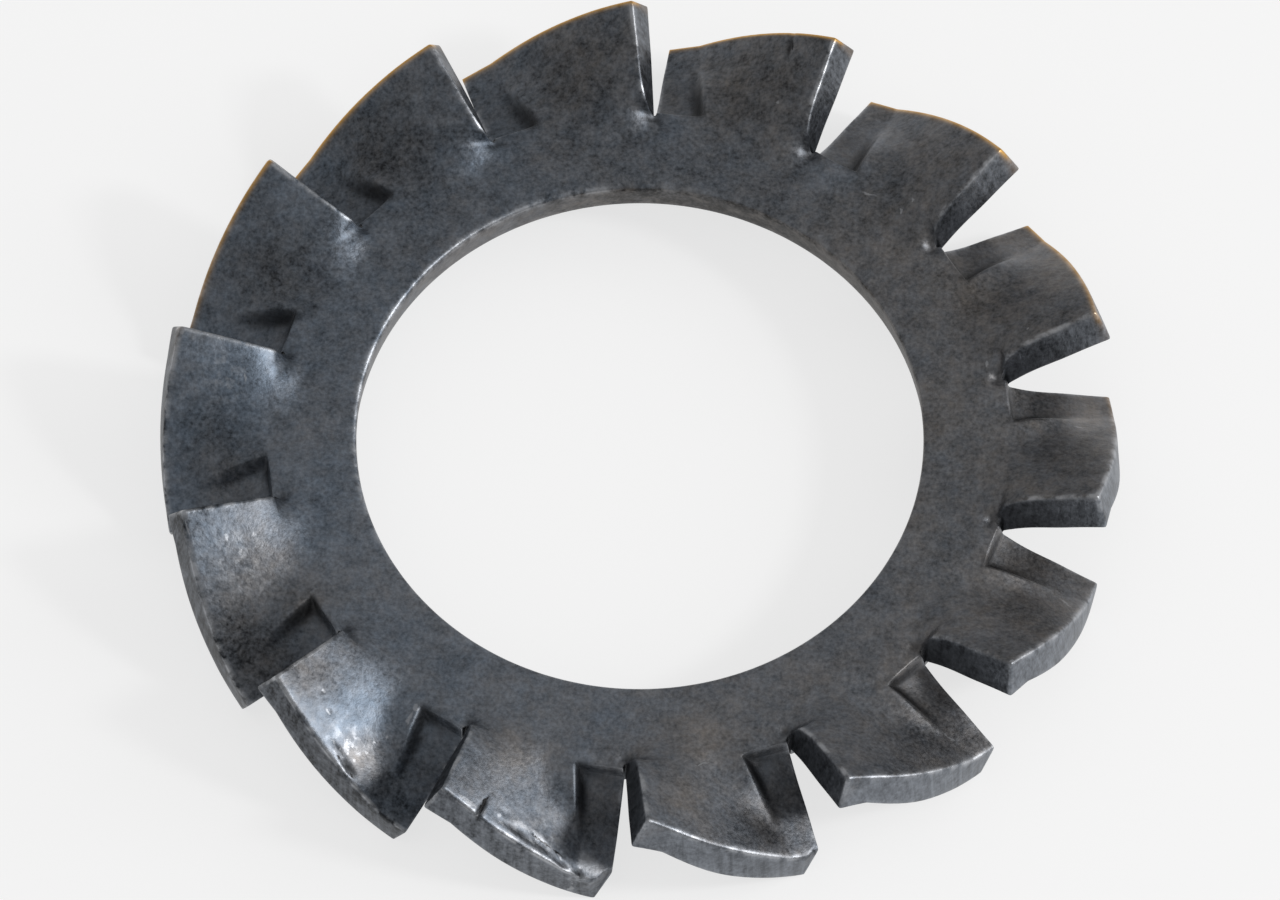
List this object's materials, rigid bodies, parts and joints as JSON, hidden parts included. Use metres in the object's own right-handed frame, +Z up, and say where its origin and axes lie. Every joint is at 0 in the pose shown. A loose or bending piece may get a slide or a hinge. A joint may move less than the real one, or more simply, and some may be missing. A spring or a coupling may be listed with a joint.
{
  "type": "toothed lock washer",
  "caption": "External-tooth lock washer: a flat spring-steel ring whose twisted rim teeth bite into the fastener and the work so a screw does not loosen.",
  "frame": {"origin": "on the bore's axis, in the plane that the washer lies on, which touches the lowest tooth corners", "axes": "+Z up along the bore's axis; +X along the centre line of one tooth; seen from above, the clockwise side of every tooth is raised"},
  "size_m": [0.0146, 0.0146, 0.0022],
  "materials": {
    "spring_steel": "dark tempered and phosphated spring steel, lightly oiled"
  },
  "bodies": {
    "root": {"toothed_lock_washer": "spring_steel"}
  },
  "joints": []
}
